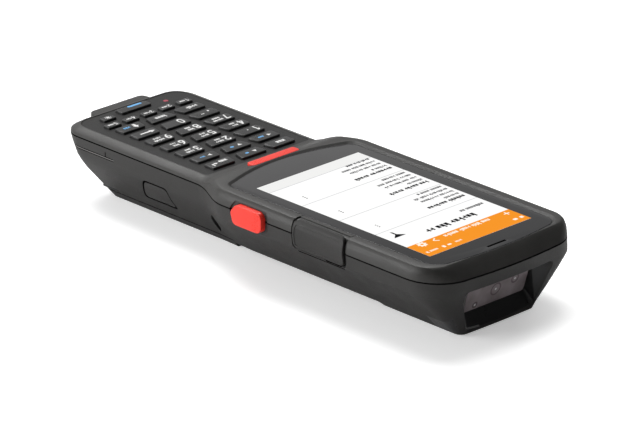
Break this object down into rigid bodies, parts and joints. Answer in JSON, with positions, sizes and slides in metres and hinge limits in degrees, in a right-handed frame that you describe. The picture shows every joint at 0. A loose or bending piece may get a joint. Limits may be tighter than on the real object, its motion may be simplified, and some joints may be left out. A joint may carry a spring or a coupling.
{
  "type": "handheld barcode data terminal",
  "caption": "Handheld data terminal: touch screen over a keypad, scanner in the raked nose, red side triggers, a hinged port cover and a lift-off battery.",
  "frame": {"origin": "on the resting surface, below the middle of the terminal", "axes": "+Y out of the scanner, along the terminal; +Z out of the screen; +X to the user's right"},
  "size_m": [0.0786, 0.206, 0.0308],
  "materials": {
    "upper_shell": "fine spark-eroded texture",
    "lower_shell": "fine spark-eroded texture",
    "gasket": "dull",
    "steel": "turned",
    "touch_glass": "polished, tinted",
    "display": "lit screen",
    "black_plastic": "moulded",
    "key_panel": "fine texture",
    "key_mat": "dull",
    "board": "solder mask",
    "status_light": "clear, tinted",
    "switch_plastic": "moulded",
    "scan_window": "polished, tinted",
    "lens_glass": "coated",
    "pack_plastic": "moulded",
    "contact_brass": "gilded",
    "cover_rubber": "dull",
    "signal_red": "satin",
    "key_plastic": "satin"
  },
  "bodies": {
    "housing": {"upper_housing": "upper_shell", "lower_housing": "lower_shell", "housing_gasket": "gasket", "housing_screws": "steel", "touch_glass": "touch_glass", "display_panel": "display", "earpiece": "black_plastic", "keypad_panel": "key_panel", "keypad_mat": "key_mat", "keypad_board": "board", "status_light": "status_light", "main_board": "board", "board_screws": "steel", "usb_socket": "steel", "audio_socket": "black_plastic", "trigger_switches": "switch_plastic", "scan_window": "scan_window", "window_seal": "gasket", "scan_engine": "black_plastic", "scan_lens": "lens_glass", "battery_contacts": "contact_brass", "strap_bars": "steel", "cover_anchor": "cover_rubber"},
    "battery_module": {"battery_cover": "lower_shell", "battery_pack": "pack_plastic"},
    "latch_right": {"latch_right": "lower_shell"},
    "latch_left": {"latch_left": "lower_shell"},
    "port_cover": {"port_cover": "cover_rubber"},
    "trigger_right": {"trigger_right": "signal_red"},
    "trigger_left": {"trigger_left": "signal_red"},
    "scan_key": {"scan_key": "signal_red"},
    "key_escape": {"key_escape": "key_plastic"},
    "key_up": {"key_up": "key_plastic"},
    "key_enter": {"key_enter": "key_plastic"},
    "key_left": {"key_left": "key_plastic"},
    "key_down": {"key_down": "key_plastic"},
    "key_right": {"key_right": "key_plastic"},
    "key_1": {"key_1": "key_plastic"},
    "key_2": {"key_2": "key_plastic"},
    "key_3": {"key_3": "key_plastic"},
    "key_4": {"key_4": "key_plastic"},
    "key_5": {"key_5": "key_plastic"},
    "key_6": {"key_6": "key_plastic"},
    "key_7": {"key_7": "key_plastic"},
    "key_8": {"key_8": "key_plastic"},
    "key_9": {"key_9": "key_plastic"},
    "key_point": {"key_point": "key_plastic"},
    "key_0": {"key_0": "key_plastic"},
    "key_back": {"key_back": "key_plastic"},
    "key_alpha": {"key_alpha": "key_plastic"},
    "key_function": {"key_function": "key_plastic"},
    "key_shift": {"key_shift": "key_plastic"},
    "key_f1": {"key_f1": "key_plastic"},
    "key_f2": {"key_f2": "key_plastic"},
    "key_f3": {"key_f3": "key_plastic"},
    "key_f4": {"key_f4": "key_plastic"},
    "key_f5": {"key_f5": "key_plastic"},
    "key_light": {"key_light": "key_plastic"},
    "key_power": {"key_power": "key_plastic"}
  },
  "joints": [
    {"name": "battery_lift", "type": "slide", "parent": "housing", "child": "battery_module", "axis": [0, 0, -1], "range_m": [0, 0.02]},
    {"name": "latch_right_press", "type": "slide", "parent": "housing", "child": "latch_right", "axis": [-1, 0, 0], "range_m": [0, 0.001], "stiffness_N_per_m": 400},
    {"name": "latch_left_press", "type": "slide", "parent": "housing", "child": "latch_left", "axis": [1, 0, 0], "range_m": [0, 0.001], "stiffness_N_per_m": 400},
    {"name": "port_cover_open", "type": "hinge", "parent": "housing", "child": "port_cover", "pos_m": [0.0382, 0.0305, 0.025], "axis": [0, 0, -1], "range_deg": [0, 110]},
    {"name": "trigger_right_press", "type": "slide", "parent": "housing", "child": "trigger_right", "axis": [-1, 0, 0], "range_m": [0, 0.0012], "stiffness_N_per_m": 500},
    {"name": "trigger_left_press", "type": "slide", "parent": "housing", "child": "trigger_left", "axis": [1, 0, 0], "range_m": [0, 0.0012], "stiffness_N_per_m": 500},
    {"name": "scan_key_press", "type": "slide", "parent": "housing", "child": "scan_key", "axis": [0, 0, -1], "range_m": [0, 0.00065], "stiffness_N_per_m": 300},
    {"name": "key_escape_press", "type": "slide", "parent": "housing", "child": "key_escape", "axis": [0, 0, -1], "range_m": [0, 0.00065], "stiffness_N_per_m": 250},
    {"name": "key_up_press", "type": "slide", "parent": "housing", "child": "key_up", "axis": [0, 0, -1], "range_m": [0, 0.00065], "stiffness_N_per_m": 250},
    {"name": "key_enter_press", "type": "slide", "parent": "housing", "child": "key_enter", "axis": [0, 0, -1], "range_m": [0, 0.00065], "stiffness_N_per_m": 250},
    {"name": "key_left_press", "type": "slide", "parent": "housing", "child": "key_left", "axis": [0, 0, -1], "range_m": [0, 0.00065], "stiffness_N_per_m": 250},
    {"name": "key_down_press", "type": "slide", "parent": "housing", "child": "key_down", "axis": [0, 0, -1], "range_m": [0, 0.00065], "stiffness_N_per_m": 250},
    {"name": "key_right_press", "type": "slide", "parent": "housing", "child": "key_right", "axis": [0, 0, -1], "range_m": [0, 0.00065], "stiffness_N_per_m": 250},
    {"name": "key_1_press", "type": "slide", "parent": "housing", "child": "key_1", "axis": [0, 0, -1], "range_m": [0, 0.00065], "stiffness_N_per_m": 250},
    {"name": "key_2_press", "type": "slide", "parent": "housing", "child": "key_2", "axis": [0, 0, -1], "range_m": [0, 0.00065], "stiffness_N_per_m": 250},
    {"name": "key_3_press", "type": "slide", "parent": "housing", "child": "key_3", "axis": [0, 0, -1], "range_m": [0, 0.00065], "stiffness_N_per_m": 250},
    {"name": "key_4_press", "type": "slide", "parent": "housing", "child": "key_4", "axis": [0, 0, -1], "range_m": [0, 0.00065], "stiffness_N_per_m": 250},
    {"name": "key_5_press", "type": "slide", "parent": "housing", "child": "key_5", "axis": [0, 0, -1], "range_m": [0, 0.00065], "stiffness_N_per_m": 250},
    {"name": "key_6_press", "type": "slide", "parent": "housing", "child": "key_6", "axis": [0, 0, -1], "range_m": [0, 0.00065], "stiffness_N_per_m": 250},
    {"name": "key_7_press", "type": "slide", "parent": "housing", "child": "key_7", "axis": [0, 0, -1], "range_m": [0, 0.00065], "stiffness_N_per_m": 250},
    {"name": "key_8_press", "type": "slide", "parent": "housing", "child": "key_8", "axis": [0, 0, -1], "range_m": [0, 0.00065], "stiffness_N_per_m": 250},
    {"name": "key_9_press", "type": "slide", "parent": "housing", "child": "key_9", "axis": [0, 0, -1], "range_m": [0, 0.00065], "stiffness_N_per_m": 250},
    {"name": "key_point_press", "type": "slide", "parent": "housing", "child": "key_point", "axis": [0, 0, -1], "range_m": [0, 0.00065], "stiffness_N_per_m": 250},
    {"name": "key_0_press", "type": "slide", "parent": "housing", "child": "key_0", "axis": [0, 0, -1], "range_m": [0, 0.00065], "stiffness_N_per_m": 250},
    {"name": "key_back_press", "type": "slide", "parent": "housing", "child": "key_back", "axis": [0, 0, -1], "range_m": [0, 0.00065], "stiffness_N_per_m": 250},
    {"name": "key_alpha_press", "type": "slide", "parent": "housing", "child": "key_alpha", "axis": [0, 0, -1], "range_m": [0, 0.00065], "stiffness_N_per_m": 250},
    {"name": "key_function_press", "type": "slide", "parent": "housing", "child": "key_function", "axis": [0, 0, -1], "range_m": [0, 0.00065], "stiffness_N_per_m": 250},
    {"name": "key_shift_press", "type": "slide", "parent": "housing", "child": "key_shift", "axis": [0, 0, -1], "range_m": [0, 0.00065], "stiffness_N_per_m": 250},
    {"name": "key_f1_press", "type": "slide", "parent": "housing", "child": "key_f1", "axis": [0, 0, -1], "range_m": [0, 0.00065], "stiffness_N_per_m": 250},
    {"name": "key_f2_press", "type": "slide", "parent": "housing", "child": "key_f2", "axis": [0, 0, -1], "range_m": [0, 0.00065], "stiffness_N_per_m": 250},
    {"name": "key_f3_press", "type": "slide", "parent": "housing", "child": "key_f3", "axis": [0, 0, -1], "range_m": [0, 0.00065], "stiffness_N_per_m": 250},
    {"name": "key_f4_press", "type": "slide", "parent": "housing", "child": "key_f4", "axis": [0, 0, -1], "range_m": [0, 0.00065], "stiffness_N_per_m": 250},
    {"name": "key_f5_press", "type": "slide", "parent": "housing", "child": "key_f5", "axis": [0, 0, -1], "range_m": [0, 0.00065], "stiffness_N_per_m": 250},
    {"name": "key_light_press", "type": "slide", "parent": "housing", "child": "key_light", "axis": [0, 0, -1], "range_m": [0, 0.00065], "stiffness_N_per_m": 250},
    {"name": "key_power_press", "type": "slide", "parent": "housing", "child": "key_power", "axis": [0, 0, -1], "range_m": [0, 0.00065], "stiffness_N_per_m": 250}
  ]
}
